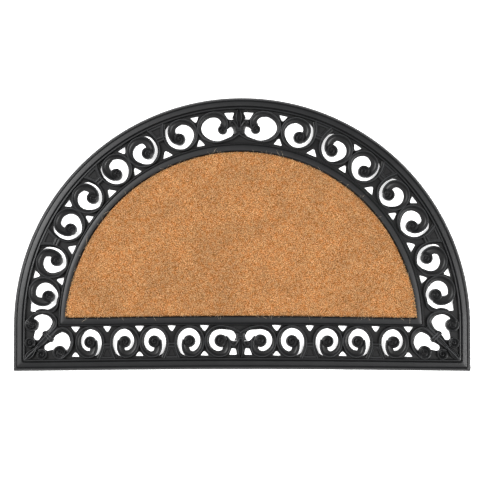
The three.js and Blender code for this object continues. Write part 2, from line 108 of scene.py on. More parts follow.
# Section of the inner border: bead, groove, flat band
BORDER_SECTION = [
    (72.4, 0), (72.4, 5), (72.7, 6.6), (73.1, 7.9), (73.7, 8.4), (74.3, 8.2), (74.7, 7.2), (75.1, 6.3),
    (75.5, 5.8), (75.9, 6.1), (76.3, 6.7), (77, 7), (80, 7.5), (84.4, 8.2), (85.1, 8), (85.5, 6.8),
    (85.8, 4.6), (85.8, 0),
]

# Round corners of the outline at a section's first and last point
RIM_CORNERS = (1.6, 5)
BORDER_CORNERS = (3, 2.4)
PLATE_CORNER = 3

# Edges sharper than this angle in degrees stay sharp
SHARP_ANGLE = 44

# A scroll bar across, from its outer edge inwards: the ridges as (depth, height), the slope as (share of
# the rest, height), and the inner edge as (distance from it, height)
THIN_HALF = 2.1
BAR_RIDGES = [
    (0, 3), (0.15, 6.2), (0.4, 7.8), (0.8, 8.8), (1.2, 9.1), (1.6, 8.8), (1.9, 8.1), (2.2, 7.6),
    (2.6, 7.8), (2.9, 7.6), (3.2, 6.8),
]
BAR_SLOPE = [(0.18, 5.3), (0.4, 4.8), (0.7, 4.6)]
BAR_LIP = 0.5
BAR_EDGE = [(BAR_LIP, 4.5), (0.14, 4)]
BAR_FOOT = 3
RIDGE_WIDTH = 3.3

# Other bars across, one side as (share of the half width, height)
STEM_SIDE = [
    (1, 0), (1, 3), (0.85, 4), (0.66, 5), (0.58, 7.4), (0.5, 8.6), (0.42, 9), (0.32, 8.6), (0.22, 7.4),
    (0.1, 6.6),
]
LEAF_SIDE = [(1, 0), (1, 4), (0.8, 5.2), (0.4, 5.8)]
BUD_SIDE = [(1, 0), (1, 4.2), (0.95, 7.4), (0.8, 9), (0.62, 8.2), (0.42, 6), (0.2, 4.8)]

# A plain rounded bar: the height of its sides, its rise, both together, and the degrees from point to point
DOME_FOOT = 6
DOME_RISE = 3.2
DOME_TOP = DOME_FOOT + DOME_RISE
DOME_STEP = 20

# A bead's rows as (share of its half length, share of its half thickness)
BEAD_ROWS = [(-1, 0.5), (-0.8, 1), (0.8, 1), (1, 0.5)]

# No bar gets thinner than this half width
LEAST_HALF = 0.2

# A bulb's winding ridge: turns before it moves in, share of the radius that it moves in by, the power of
# that, laps, fall with each lap, and the share of the radius at which it ends
BULB_HOLD = 0.75
BULB_SHRINK = 0.62
BULB_POWER = 0.8
BULB_LAPS = 3
BULB_FALL = 0.8
BULB_EYE = 0.2

# Where neighbouring scrolls meet: (distance along the band, kind, half width of the bar, neck form)
WEB_HALF = 5
CENTRE_HALF = 5
ROW_JUNCTIONS = [
    (59.2, "plain", 4.6, "middle"),
    (113.4, "pair", 4.4, "row"),
    (166.7, "plain", 4.6, "row"),
    (220.3, "pair", 5.6, "row"),
    (273.2, "plain", 5.6, "row"),
]
ARC_JUNCTIONS = [
    (69.3, "plain", 4.2, "crown"),
    (132, "pair", 4.5, "arc"),
    (193.3, "plain", 5.6, "arc"),
    (252.8, "pair", 4.4, "arc"),
    (313, "plain", 4.9, "arc"),
    (375.5, "pair", 5.1, "arc"),
    (436, "plain", 5.6, "arc"),
    (492, "corner", 5.4, "end"),
]

# The pattern sits a little off the middle: (shift at the middle, distance at which it is gone)
ROW_SHIFT = (-2.5, 275)
ARC_SHIFT = (-5, 530)

# A scroll: its neck leaves the bulb on the web side and turns into the ring at the rim side. The ring's half
# width is set at five turns in degrees: three shares of the bar's, the neck form's thin one, and the end's
OVERLAP = 0.4
RING_STEP = 15
RING_TURNS = (105, 180, 225, 270, 360)
WIDE_SHARES = (1.14, 0.87, 0.75)
END_HALF = 2.5
COIR_INSET = 1.4
RIM_INSET = 2.8

# How a scroll ends: the last turn of its ring in degrees, and the rows that follow as (distance past the
# ring's side, height, half width)
TAILS = {
    "pair": (360, [(-2.6, -6, 2.7), (-5, -15, 3), (-10.2, -26.5, 3.4)]),
    "centre": (285, [(-10.4, 20.6, 2.9), (-3.6, 17.4, 2.9), (1.6, 14.2, 2.8), (4.8, 12.2, 2.6)]),
    "corner": (285, [
        (-8, 22.4, 2.2), (-1.6, 17.4, 2.4), (-0.4, 10, 2.6), (-1, 2, 2.8), (0.4, -5, 3), (3, -10, 3),
    ]),
}

# Neck forms: the bulb as (x, y, radius), the rows of the neck as (x, y, half width), the half width of the
# ring opposite the neck, and the angle in degrees at which the bulb takes over the bar
NECKS = {
    "row": (
        (0.4, 0.6, 10.3),
        [(6.3, 3, 6), (7.1, -5, 6.4), (6.6, -11.5, 6.4), (3, -18.8, 6.2)],
        2.6, 10,
    ),
    "middle": (
        (-0.4, 0.9, 10.9),
        [(5.2, 6.2, 5.4), (8.4, 1.2, 6.6), (9.6, -5.5, 6.6), (9, -12, 6.4), (5, -18.8, 6)],
        3.8, 10,
    ),
    "arc": (
        (4.3, 6, 10.5),
        [(8.6, 8.4, 6.6), (11.8, 3, 7), (13.2, -4.5, 6.8), (12, -11.5, 6.4), (6.4, -18.2, 6)],
        1.9, 30,
    ),
    "end": (
        (3.2, 7.6, 11),
        [(8, 9.6, 7.2), (12.2, 3.5, 8), (13.6, -4.5, 7.4), (12.2, -11.5, 6.6), (6.4, -18.2, 6)],
        1.9, 30,
    ),
    "crown": (
        (9.4, 5.4, 8.2),
        [(12, 3, 5.6), (13.6, -3, 5.8), (13.2, -9.5, 5.6), (9.8, -15.6, 5.5), (3.6, -20, 5.2)],
        2, 0,
    ),
}

# Holes in the web beside a junction: (base height, tip height, half width of the base)
COIR_HOLE = {"row": (26.2, 17.4, 7.6), "arc": (26.2, 15.9, 7.4)}
RIM_HOLE = {"row": (-23.2, -16.2, 6.6), "arc": (-22.6, -13.8, 6.6)}
HOLE_TIP_HALF = 1.2
PAIR_HOLE_HALF = {"row": 6.8, "arc": 9.4}

# The slit beside a corner, as (near, far, base, top)
CORNER_SLIT = (13, -2.4, -19, 2)

# How far from its corners a hole's sides bend, and the largest share of a side that does
HOLE_BEND = 1.4
SLIT_BEND = 1.5
ARM_HOLE_BEND = 2.2
MOST_BEND = 0.45

# The web of a pair: the corners of its foot and its head as (half width, height), how far they draw in for
# each millimetre of inset, and the steps of its sunk panel as (inset, height)
WEB_FOOT = (12, -27)
WEB_HEAD = (5.5, -9)
FOOT_DRAW = 1.3
HEAD_DRAW = 0.7
WEB_LEVELS = [(0, 0), (0, 6), (0.5, 6.6), (3.2, 6.6), (4, 4.4)]

# The collar of a pair: its block as (half width, low, high, top, bend), and its beads as (half width,
# half thickness, top) with their places
COLLAR_BLOCK = (5.6, -10, -1, 6.4, 1)
COLLAR_BEAD = (6.8, 1.9, 8.5)
COLLAR_PLACES = (-8, -3.2)

# The centre motifs: half width of the stem, rows of the arm from the middle out as (x, y, half width), and
# the hole under the arm as (near, far, base, top, top far, top near)
CENTRE_MOTIFS = {
    "row": (
        8, [(0, -5.4, 6), (12, -5.6, 6), (18, -4.8, 6.8), (24, -1.2, 8.4)],
        (6.1, 19.1, -22.2, -11.6, 14.5, 8),
    ),
    "arc": (
        10, [(0, -4.2, 6), (14, -4.2, 6), (18, -3.8, 7), (24, -1, 7.6)],
        (7.2, 23.4, -22, -10.4, 16.6, 11.8),
    ),
}

# Shapes of both centre motifs: the flare and lift of the stem, the bud and the petals as (x, y, half width),
# a petal's curl as ((x, y, radius), start in degrees, way round, sides, rings), and the stem's two beads
STEM_FLARE = 2.4
STEM_LIFT = 0.92
BUD = [
    (0, 7, 2.8), (0, 3, 2.9), (0, -3, 3.4), (0, -9, 4.7), (0, -13, 5.2), (0, -19, 4.3), (0, -25, 2.2),
    (0, -28, 1),
]
PETAL = [(1.6, 4.5, 1.4), (4.8, -1.4, 1.6), (8.4, -6, 1.7), (12.4, -8, 1.7), (15.6, -6.2, 1.3)]
PETAL_LIFT = 0.92
PETAL_CURL = ((13, -4, 3.2), -100, 1, 28, 9)
STEM_BEAD_SHARE = 0.64
STEM_BEAD_THICK = 1.2
STEM_BEAD_TOP = 8.8
STEM_BEAD_PLACES = (4.6, 7.8)

# The arm's height, and the toe beside its hole: width, height over the plate, bend of its corners
ARM_TOP = 5.2
TOE_WIDTH = 8
TOE_TOP = 0.4
TOE_BEND = 0.5

# The corner motif as (x, y, half width), from the mat's corner, the same both ways about the diagonal
CORNER_LOOP = [
    (62, 57, 3.4), (72, 64.8, 4.4), (81.5, 67.8, 4.4), (91, 62, 4),
    (95.8, 51.5, 3.2), (94.8, 41, 3), (90, 32, 3.2), (82, 25.8, 4.2),
]
CORNER_NECK_HOLE = [(56, 38.5, 5.2), (65, 42.5, 7.2), (79, 51.5, 12)]
CORNER_LOBE_HOLE = [(79.5, 51.5, 12.6), (84.5, 43, 9.6)]
CORNER_STEM = [(72, 72, 6), (62, 62, 6.4), (53, 53, 6.2), (45, 45, 6), (38, 38, 5.2)]
CORNER_LEAF = [(40, 40, 1.6), (34, 34, 4.6), (28, 28, 5.6), (23, 23, 3.8), (18.5, 18.5, 0.8)]
CORNER_RIB = [(40, 40, 1), (35.6, 32.4, 1.2), (31.2, 24.6, 1.3), (26, 20.6, 1.2), (19, 19, 1)]
CORNER_SPINE = [(41, 41, 1.2), (30, 30, 1.4), (18, 18, 1.1)]
SPINE_LIFT = 0.98
RIB_LIFT = 0.9

# The corner's bulb, curl and knob as ((x, y, radius), start in degrees, way round, sides, rings)
CORNER_SNAILS = [
    ((76, 30, 11.8), -25, -1, 48, 16),
    ((46, 27.4, 9.4), 130, -1, 40, 12),
    ((62, 51.4, 4.6), 0, 1, 24, 7),
]

# The two beads of the corner's collar: their places on the diagonal, and their rows as (distance across
# both ways, half width)
CORNER_BEAD_PLACES = (55.1, 58.3)
CORNER_BEAD = [(-5, 0.7), (-4, 1.4), (4, 1.4), (5, 0.7)]

# The foot of the pile: its side as (distance in from the pad's edge, height), then flat rings, and how
# rough it is above a height
BASE_SIDE = [(0.9, PAD_BOTTOM), (0.6, 6), (1, 8.4), (2.4, 9.6)]
BASE_FIRST = 3.6
BASE_STEP = 2.7
BASE_RINGS = 39
BASE_ROUGH = 0.3
BASE_ROUGH_FROM = 7
BASE_CORNER = 4
BASE_ARC_STEPS = 200
BASE_FRONT_STEPS = 100

# Seeds of the random draws
BASE_SEED = 7
PILE_SEED = 21
STRAY_SEED = 5

# The pile's fibres: distance between them, their jitter as a share of it, the half size of their field, the
# distance in from the pad's edge, lean, half widths, and how their tops vary
PITCH = 1.12
JITTER = 0.5
FIELD = (290, 140)
PILE_PIECES = 4
PILE_INSET = 1.6
LEAN_WAVE = 0.4
LEAN_SPREAD = 1.1
FIBRE_HALF = (0.36, 0.56)
FIBRE_TAPER = 0.8
TOP_SPREAD = 0.4

# The waves of the fibres' lean, as (length along, length across) for the lean in x and in y
LEAN_WAVES = ((5.3, 7.1), (6.3, 4.7))

# The pile's edge: its width, share of the lean, and how much lower it is
EDGE_WIDTH = 2.5
EDGE_LEAN = 0.45
EDGE_LOWER = 0.5

# A direction that no fibre has
ACROSS = (0.31, 0.95, 0.05)

# Pits in the pile: how many, their grid as (rows, columns) of half millimetres, its half width and half
# depth in millimetres, and in grid steps their margin, radius and reach; then how full and deep they are
PITS = 2300
PIT_GRID = (600, 1200)
PIT_FIELD = (300, 150)
PIT_MARGIN = 10
PIT_RADIUS = (1.6, 3.4)
PIT_REACH = 4
PIT_FULL = 1.2
PIT_DEPTH = 2.2

# Loose fibres: how many, the outline that they start from as (corner, arc steps, front steps), half width,
# share of short ones, lengths, how far inside the pile they start, where they bend, and their heights at
# the start, the bend and the end
STRAYS = 170
STRAY_EDGE = (3, 700, 560)
STRAY_HALF = 0.13
STRAY_TAPER = 0.9
STRAY_SHORT_SHARE = 0.7
STRAY_SHORT = (1.5, 3)
STRAY_LONG = (3.5, 6.5)
STRAY_START = 1.5
STRAY_ALONG = 0.8
STRAY_BEND_AT = 0.7
STRAY_BEND = 0.5
STRAY_HEIGHTS = [(9.6, 12), (11.4, 12.8), (10, 12)]

# Colours by height or by noise, as (position, colour)
# The rubber's colours by height: painted shade in the hollows, darkest on the web, and a painted highlight
# on the ridges' tops
RUBBER_SHADE_HIGHLIGHT_TONES = [
    (0.28, (0.002, 0.002, 0.0022)), (0.5, (0.0082, 0.0084, 0.009)),
    (0.77, (0.0105, 0.0107, 0.0112)), (0.86, (0.045, 0.046, 0.048)),
]
RUBBER_CLOUD = [(0.3, (0.8, 0.8, 0.8)), (0.7, (1.12, 1.12, 1.12))]
COIR_TINT = [
    (0.30, (0.23, 0.087, 0.029)), (0.42, (0.57, 0.298, 0.114)),
    (0.55, (0.765, 0.47, 0.214)), (0.72, (0.89, 0.675, 0.40)),
]
COIR_WARM = [(0.42, (1.0, 1.0, 1.0)), (0.66, (0.96, 0.74, 0.56))]
COIR_WIDE = [(0.35, (0.9, 0.9, 0.9)), (0.65, (1.06, 1.04, 1.0))]
# Painted shade deep in the pile, between the fibres, mixed in by height
COIR_DEEP_SHADE = (0.12, 0.05, 0.015)
STRAY_TINT = [(0.35, (0.30, 0.22, 0.14)), (0.65, (0.62, 0.52, 0.38))]
FLOOR_TONES = [(0.3, (0.93, 0.93, 0.93)), (0.7, (0.95, 0.95, 0.95))]

# Noise as (lumps a metre, detail, roughness)
CLOUD_NOISE = (28, 4, 0.6)
GLOSS_NOISE = (160, 3, 0.6)
GRAIN_NOISE = (1500, 3, 0.55)
FIBRE_NOISE = (620, 2, 0.6)
WARM_NOISE = (150, 2, 0.5)
WIDE_NOISE = (22, 2, 0.5)
STRAY_NOISE = (90, 2, 0.5)
FLOOR_NOISE = (3, 2, 0.5)

# The rubber's lowest and highest roughness, and its grain's strength and depth in metres
RUBBER_ROUGH = (0.38, 0.5)
GRAIN_STRENGTH = 0.35
GRAIN_DEPTH = 0.0002

# Heights in metres between which the colours of the rubber and of the pile change: painted shade low down, a
# painted highlight on the rubber's ridges, and the fibres' own colours at the pile's top
RUBBER_HEIGHTS = (0.003, 0.010)
COIR_HEIGHTS = (0.0093, 0.0118)

# The floor and the lights in metres: (name, place, aim, watts)
FLOOR_HALF = 6
FLOOR_DROP = 0.0003
LIGHT_SIZE = (1.2, 1.6)
LIGHTS = [
    ("left_light", (-2.1, 0.85, 2.2), (-0.1, 0, 0), 154),
    ("right_light", (2.15, -0.75, 2.2), (0.1, 0, 0), 150),
]
WORLD_STRENGTH = 0.27

# The camera: degrees above the floor, distance in metres, aim, lens and sensor in millimetres
CAMERA_RISE = 87.4
CAMERA_AWAY = 3.3
CAMERA_AIM = Vector((-0.0034, -0.0099, 0.005))
CAMERA_LENS = 150.56
CAMERA_SENSOR = 36


def half_width(inset):
    """Half the mat's width at an inset, where the arc meets the straight side."""
    radius = RADIUS - inset
    cut = max(0.0, inset - SIDE)
    return math.sqrt(radius * radius - cut * cut)


def bow(x, inset):
    """How far the straight edge bows in at x, at an inset."""
    share = min(1.0, abs(x) / half_width(inset))
    return FRONT_BOW * (1 - share * share) ** BOW_POWER


def bend(a, corner, b, steps):
    """Points between a and b round a corner, without its ends."""
    points = []
    for i in range(1, steps):
        t = i / steps
        u = 1 - t
        points.append(tuple(u * u * p + 2 * u * t * c + t * t * q for p, c, q in zip(a, corner, b)))
    return points


def add_front(points, half, corner, inset, last, steps):
    """Adds the straight edge to an arc's points, between a bent corner and one up to the last point."""
    low = FRONT_Y + inset
    front = []
    for i in range(steps + 1):
        x = (half - corner) * (2 * i / steps - 1)
        front.append((x, low + bow(x, inset)))
    points += bend(points[-1], (-half, low), front[0], BEND_STEPS) + front
    points += bend(front[-1], (half, low), last, BEND_STEPS)


def outline(inset, corner):
    """The mat's outline at an inset, anticlockwise from the right end of the arc, with round corners."""
    radius = RADIUS - inset
    half = half_width(inset)
    start = FRONT_Y + inset + corner
    points = []
    for i in range(ARC_STEPS + 1):
        angle = math.pi * i / ARC_STEPS
        points.append((radius * math.cos(angle), ARC_Y + radius * math.sin(angle)))
    points.append((-half, start))
    add_front(points, half, corner, inset, (half, start), FRONT_STEPS)
    points.append((half, start))
    return points


def inner_outline(inset, corner, arc_steps=ARC_STEPS, front_steps=FRONT_STEPS):
    """The outline of the inner border and the pad, without straight sides."""
    radius = RADIUS - INNER_TIGHT - inset
    foot = math.asin((inset - SIDE) / radius)
    start = foot + corner / radius
    points = []
    for i in range(arc_steps + 1):
        angle = start + (math.pi - 2 * start) * i / arc_steps
        points.append((radius * math.cos(angle), ARC_Y + radius * math.sin(angle)))
    add_front(points, radius * math.cos(foot), corner, inset, points[0], front_steps)
    return [(x + INNER_SHIFT, y) for x, y in points]


def shifted(x, shift):
    """A distance from the middle, moved by the pattern's shift."""
    share = min(1.0, abs(x) / shift[1])
    return x + shift[0] * (1 - share * share)


def to_row(x, y):
    """Places a distance along the row and one up from its middle."""
    along = shifted(x, ROW_SHIFT)
    inset = BAND_MID + y
    return (along, FRONT_Y + inset + bow(along, inset))


def to_arc(x, y):
    """Places a distance along the arc and one in from its middle."""
    angle = math.pi / 2 - shifted(x, ARC_SHIFT) / MID_RADIUS
    radius = MID_RADIUS - y
    return (radius * math.cos(angle), ARC_Y + radius * math.sin(angle))


def to_corner(side, flip):
    """Places distances along and up from a corner of the mat, or the other way round."""
    def place(x, y):
        if flip:
            x, y = y, x
        return (side * (RADIUS - x), FRONT_Y + y + bow(RADIUS - x, y))
    return place


def beside(centre, way, place):
    """Places distances from a ring's centre, with its web side at +x."""
    return lambda x, y: place(centre + way * x, y)


def smooth(rows, steps):
    """A smooth path through rows of numbers: a centripetal Catmull-Rom curve."""
    knots = [np.array(row, float) for row in rows]
    knots = [2 * knots[0] - knots[1], *knots, 2 * knots[-1] - knots[-2]]
    spans = [max(1e-3, float(np.dot(b - a, b - a)) ** 0.25) for a, b in zip(knots, knots[1:])]
    path = []
    for i in range(steps + 1):
        t = (len(rows) - 1) * i / steps
        k = min(int(t), len(rows) - 2)
        t -= k
        p0, p1, p2, p3 = knots[k:k + 4]
        d0, d1, d2 = spans[k:k + 3]
        m1 = ((p1 - p0) / d0 - (p2 - p0) / (d0 + d1) + (p2 - p1) / d1) * d1
        m2 = ((p2 - p1) / d1 - (p3 - p1) / (d1 + d2) + (p3 - p2) / d2) * d1
        a = 2 * p1 - 2 * p2 + m1 + m2
        b = -3 * p1 + 3 * p2 - 2 * m1 - m2
        path.append(a * t ** 3 + b * t ** 2 + m1 * t + p1)
    return path


def left_of(path, i):
    """The direction across a path to its left, at one of its points."""
    before, after = path[max(0, i - 1)], path[min(len(path) - 1, i + 1)]
    dx, dy = after[0] - before[0], after[1] - before[1]
    size = math.hypot(dx, dy) or 1.0
    return (-dy / size, dx / size)


def mesh_object(name, verts, faces):
    """A mesh object in metres from points in millimetres, with its faces turned out."""
    co = np.array(verts, float) * MM
    volume = 0.0
    for face in faces:
        for k in range(1, len(face) - 1):
            volume += float(np.dot(co[face[0]], np.cross(co[face[k]], co[face[k + 1]])))
    if volume < 0:
        faces = [tuple(reversed(face)) for face in faces]
    mesh = bpy.data.meshes.new(name)
    mesh.from_pydata([tuple(p) for p in co], [], faces)
    mesh.update()
    made = bpy.data.objects.new(name, mesh)
    bpy.context.scene.collection.objects.link(made)
    return made


def prism(points, low, high):
    """A flat shape raised from one height to another."""
    n = len(points)
    verts = [(x, y, low) for x, y in points] + [(x, y, high) for x, y in points]
    faces = [tuple(range(n)), tuple(range(2 * n - 1, n - 1, -1))]
    faces += [((i + 1) % n, i, n + i, n + (i + 1) % n) for i in range(n)]
    return mesh_object("prism", verts, faces)


def sweep(section, along, corner_out, corner_in):
    """A section carried round an outline, its corners rounder towards the inside."""
    first, last = section[0][0], section[-1][0]
    rings = []
    for inset, z in section:
        share = (inset - first) / (last - first)
        corner = corner_out + (corner_in - corner_out) * share
        rings.append([(x, y, z) for x, y in along(inset, corner)])
    n, m = len(rings), len(rings[0])
    verts = [point for ring in rings for point in ring]
    faces = []
    for k in range(n):
        for j in range(m):
            a, b = k * m + j, k * m + (j + 1) % m
            c, d = (k + 1) % n * m + (j + 1) % m, (k + 1) % n * m + j
            faces.append((a, b, c, d))
    return mesh_object("sweep", verts, faces)


def loft(rings):
    """A closed solid through rings of points, with a fan at both ends."""
    m = len(rings[0])
    verts = [point for ring in rings for point in ring]
    faces = []
    for k in range(len(rings) - 1):
        for j in range(m):
            a, b = k * m + j, k * m + (j + 1) % m
            faces.append((a, b, b + m, a + m))
    for ring, start in ((rings[0], 0), (rings[-1], (len(rings) - 1) * m)):
        middle = len(verts)
        verts.append(tuple(sum(p[i] for p in ring) / m for i in range(3)))
        for j in range(m):
            a, b = start + j, start + (j + 1) % m
            faces.append((b, a, middle) if start == 0 else (a, b, middle))
    return mesh_object("loft", verts, faces)


def bar_section(half):
    """A scroll bar across: outer foot, round ridge, groove, low ridge, and the slope to its inner edge."""
    k = min(1.0, half / THIN_HALF)
    rest = 2 * half - (RIDGE_WIDTH + BAR_LIP) * k
    ridges = [(half - depth * k, z) for depth, z in BAR_RIDGES]
    slope = [(half - RIDGE_WIDTH * k - share * rest, z) for share, z in BAR_SLOPE]
    edge = [(-half + depth * k, z) for depth, z in BAR_EDGE]
    return [(half, 0), *ridges, *slope, *edge, (-half, BAR_FOOT), (-half, 0)]


def dome_section(half):
    """A plain rounded bar across."""
    angles = [math.radians(t) for t in range(0, 181, DOME_STEP)]
    over = [(half * math.cos(angle), DOME_FOOT + DOME_RISE * math.sin(angle)) for angle in angles]
    return [(half, 0), *over, (-half, 0)]


def mirrored(half, side):
    """A section across that is the same on both sides."""
    return [(half * share, z) for share, z in side] + [(-half * share, z) for share, z in reversed(side)]


def stem_section(half):
    """A stem across: two ridges with a groove between them, and a slope on both sides."""
    return mirrored(half, STEM_SIDE)


def leaf_section(half):
    """A flat leaf across."""
    return mirrored(half, LEAF_SIDE)


def bud_section(half):
    """A bud across: an edge rib on each side and a hollow between them."""
    return mirrored(half, BUD_SIDE)


def bar(rows, place, steps, section=bar_section, lift=1.0):
    """A raised bar along a path, with a given section across."""
    path = smooth(rows, steps)
    rings = []
    for i, (x, y, half) in enumerate(path):
        nx, ny = left_of(path, i)
        across = section(max(LEAST_HALF, half))
        rings.append([(*place(x + nx * s, y + ny * s), z * lift) for s, z in across])
    return loft(rings)


def ribbon(rows, place, steps):
    """The outline of a strip with round ends along a path."""
    path = smooth(rows, steps)
    points = []

    def edge(i, turn):
        nx, ny = left_of(path, i)
        c, s = math.cos(turn), math.sin(turn)
        half = path[i][2]
        points.append(place(path[i][0] + (nx * c - ny * s) * half, path[i][1] + (nx * s + ny * c) * half))

    for i in range(steps + 1):
        edge(i, 0)
    for i in range(1, CAP_STEPS):
        edge(steps, -math.pi * i / CAP_STEPS)
    for i in range(steps, -1, -1):
        edge(i, math.pi)
    for i in range(1, CAP_STEPS):
        edge(0, math.pi - math.pi * i / CAP_STEPS)
    return points


def rounded(corners, cut, place):
    """A polygon with bent corners, placed on the mat."""
    points = []
    n = len(corners)
    for i, (x, y) in enumerate(corners):
        ends = []
        for ox, oy in (corners[i - 1], corners[(i + 1) % n]):
            size = math.hypot(ox - x, oy - y)
            share = min(MOST_BEND, cut / size)
            ends.append((x + (ox - x) * share, y + (oy - y) * share))
        for p in [ends[0], *bend(ends[0], (x, y), ends[1], HOLE_STEPS), ends[1]]:
            points.append(place(*p))
    return points


def winding(turn, radius):
    """The outer radius of a bulb's winding ridge, so many turns in from its start."""
    inward = max(0.0, turn - BULB_HOLD)
    return radius * (1 - BULB_SHRINK * inward ** BULB_POWER)


def bulb_height(turn, reach, radius, depths, heights):
    """The height of a bulb at a part of a turn and a distance from its middle: its highest lap there."""
    z = 0.0
    for lap in range(BULB_LAPS):
        outer = winding(turn + lap, radius)
        if outer > BULB_EYE * radius and reach <= outer + 1e-6:
            ridge = float(np.interp(outer - reach, depths, heights))
            z = max(z, ridge - BULB_FALL * (turn + lap))
    return z


def snail(centre, place, start, spin=1, sides=44, rings=15):
    """A bulb: the bar's section wound in to the middle, from the start angle on."""
    cx, cy, radius = centre
    across = bar_section(radius / 2)[1:-1]
    depths = [radius / 2 - side for side, _ in across]
    heights = [z for _, z in across]
    verts = []
    for k in range(rings, -1, -1):
        for j in range(sides if k else 1):
            turn = j / sides
            reach = winding(turn, radius) * k / rings
            z = bulb_height(turn, reach, radius, depths, heights)
            angle = start + spin * 2 * math.pi * turn
            verts.append((*place(cx + reach * math.cos(angle), cy + reach * math.sin(angle)), z))
    foot = [(x, y, 0) for x, y, _ in verts[:sides]]
    verts = foot + verts + [(*place(cx, cy), 0)]
    top, bottom = len(verts) - 2, len(verts) - 1
    faces = []
    for k in range(rings):
        for j in range(sides):
            a, b = k * sides + j, k * sides + (j + 1) % sides
            faces.append((a, b, b + sides, a + sides))
    for j in range(sides):
        a, b = rings * sides + j, rings * sides + (j + 1) % sides
        faces.append((a, b, top))
        faces.append(((j + 1) % sides, j, bottom))
    return mesh_object("snail", verts, faces)


def bead(x, y, half, thick, place, high):
    """A short rounded bead across a bar, thinner at its ends."""
    rows = [(x + reach * half, y, share * thick) for reach, share in BEAD_ROWS]
    return bar(rows, place, BEAD_STEPS, dome_section, high / DOME_TOP)


def scroll_rows(half_x, half_y, neck_rows, wide, thin, ending):
    """The rows of a scroll's path, from its neck round the ring to its end."""
    rows = list(neck_rows)
    last, tail = TAILS[ending]
    halves = [*(wide * share for share in WIDE_SHARES), thin, END_HALF]
    for turn in range(RING_TURNS[0], last + 1, RING_STEP):
        angle = math.radians(-turn)
        half = float(np.interp(turn, RING_TURNS, halves))
        rows.append(((half_x - half) * math.cos(angle), (half_y - half) * math.sin(angle), half))
    return rows + [(half_x + x, y, half) for x, y, half in tail]


# Everything that is cut from the plate, and everything that is joined to it
cuts = []
parts = []


def cut_through(points):
    """Cuts an opening right through the plate."""
    cuts.append(prism(points, BELOW, ABOVE))


def scroll(start, end, way, ending, wide, form, place):
    """One scroll between two distances along the band."""
    half_x = abs(end - start) / 2 + OVERLAP
    half_y = BAND_HALF + OVERLAP
    local = beside((start + end) / 2, way, place)
    oval = []
    for i in range(OVAL_STEPS):
        angle = 2 * math.pi * i / OVAL_STEPS
        reach = half_y - (RIM_INSET if math.sin(angle) < 0 else COIR_INSET)
        oval.append(local((half_x - COIR_INSET) * math.cos(angle), reach * math.sin(angle)))
    cut_through(oval)
    bulb, neck_rows, thin, turn = NECKS[form]
    parts.append(bar(scroll_rows(half_x, half_y, neck_rows, wide, thin, ending), local, SCROLL_STEPS))
    parts.append(snail(bulb, local, math.radians(turn)))


def corner_hole(at, hole, half, place):
    """A hole beside a junction, wide at its base and narrow at its tip."""
    base, tip, _ = hole
    corners = [(at - half, base), (at + half, base), (at + HOLE_TIP_HALF, tip), (at - HOLE_TIP_HALF, tip)]
    cut_through(rounded(corners, HOLE_BEND, place))


def web(at, place):
    """The web of a pair: a foot with a sunk panel, and a collar of two beads round the bars."""
    rings = []
    for inset, z in WEB_LEVELS:
        wide, low = WEB_FOOT[0] - FOOT_DRAW * inset, WEB_FOOT[1] + inset
        narrow, high = WEB_HEAD[0] - HEAD_DRAW * inset, WEB_HEAD[1] - HEAD_DRAW * inset
        ring = [(-wide, low), (wide, low), (narrow, high), (-narrow, high)]
        rings.append([(*place(at + x, y), z) for x, y in ring])
    parts.append(loft(rings))
    half, low, high, top, cut = COLLAR_BLOCK
    block = [(at - half, low), (at + half, low), (at + half, high), (at - half, high)]
    parts.append(prism(rounded(block, cut, place), 0, top))
    half, thick, top = COLLAR_BEAD
    for y in COLLAR_PLACES:
        parts.append(bead(at, y, half, thick, place, top))


def half_band(side, junctions, band, place):
    """All scrolls, webs and holes of one half of a band."""
    before_at, before_kind = CENTRE_HALF, "centre"
    for at, kind, wide, form in junctions:
        start = before_at + (WEB_HALF if before_kind == "pair" else 0)
        end = at - (WEB_HALF if kind == "pair" else 0)
        faces_out = kind in ("pair", "corner")
        way = side if faces_out else -side
        scroll(side * start, side * end, way, kind if faces_out else before_kind, wide, form, place)
        if kind == "corner":
            near, far, base, top = CORNER_SLIT
            corners = [(side * (at - near), base), (side * (at - far), base),
                       (side * (at - far), top), (side * (at - near), top)]
            cut_through(rounded(corners, SLIT_BEND, place))
        else:
            half = PAIR_HOLE_HALF[band] if kind == "pair" else COIR_HOLE[band][2]
            corner_hole(side * at, COIR_HOLE[band], half, place)
        if kind == "plain":
            corner_hole(side * at, RIM_HOLE[band], RIM_HOLE[band][2], place)
        if kind == "pair":
            web(side * at, place)
        before_at, before_kind = at, kind


def centre_motif(form, place):
    """The motif in the middle of a band: a bud, two side petals and their curls, and a collar."""
    half, arm, (near, far, base, top, top_far, top_near) = CENTRE_MOTIFS[form]
    stem = [(0, 13, half), (0, 7, half), (0, 1, half + STEM_FLARE)]
    parts.append(bar(stem, place, STEM_STEPS, leaf_section, STEM_LIFT))
    parts.append(bar(BUD, place, BUD_STEPS, bud_section))
    for y in STEM_BEAD_PLACES:
        parts.append(bead(0, y, STEM_BEAD_SHARE * half, STEM_BEAD_THICK, place, STEM_BEAD_TOP))
    for side in (-1, 1):
        local = beside(0, side, place)
        parts.append(prism(ribbon(arm, local, ARM_STEPS), 0, ARM_TOP))
        toe = [(far, base - 1), (far + TOE_WIDTH, base - 1), (top_far + TOE_WIDTH, top), (top_far, top)]
        parts.append(prism(rounded(toe, TOE_BEND, local), 0, PLATE_TOP + TOE_TOP))
        parts.append(bar(PETAL, local, PETAL_STEPS, dome_section, PETAL_LIFT))
        centre, start, spin, sides, rings = PETAL_CURL
        parts.append(snail(centre, local, math.radians(start), spin, sides, rings))
        corners = [(near, base), (far, base), (top_far, top), (top_near, top)]
        cut_through(rounded(corners, ARM_HOLE_BEND, local))


